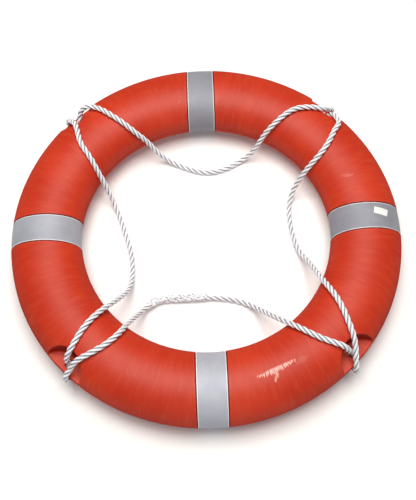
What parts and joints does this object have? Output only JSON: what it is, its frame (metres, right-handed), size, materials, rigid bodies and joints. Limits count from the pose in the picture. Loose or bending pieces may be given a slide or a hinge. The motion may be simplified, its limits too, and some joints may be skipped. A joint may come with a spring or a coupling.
{
  "type": "life ring",
  "caption": "Round foam-filled plastic life ring with rope notches, reflective bands and a grab line hitched through its eyes.",
  "frame": {"origin": "on the ring's axis, at the level of the surface on which the ring lies", "axes": "+Z along the ring's axis towards the side with the grab line, +X and +Y through the middles of two reflective bands"},
  "size_m": [0.7092, 0.7092, 0.1101],
  "materials": {
    "shell": "moulded polyethylene, satin",
    "rear_shell": "moulded polyethylene, satin",
    "foam": "rigid closed-cell foam",
    "reflective_band": "retroreflective sheeting",
    "plug": "moulded, matte",
    "rope": "three-strand laid rope"
  },
  "bodies": {
    "root": {"front_shell": "shell", "rear_shell": "rear_shell", "foam_core": "foam", "right_band": "reflective_band", "top_band": "reflective_band", "left_band": "reflective_band", "bottom_band": "reflective_band", "fill_plug": "plug", "vent_plug": "plug", "hitch_top_right": "rope", "hitch_top_left": "rope", "hitch_bottom_left": "rope", "hitch_bottom_right": "rope", "grab_line_top": "rope", "grab_line_left": "rope", "grab_line_bottom_left": "rope", "rope_splice": "rope", "grab_line_bottom_right": "rope", "grab_line_right": "rope"}
  },
  "joints": []
}
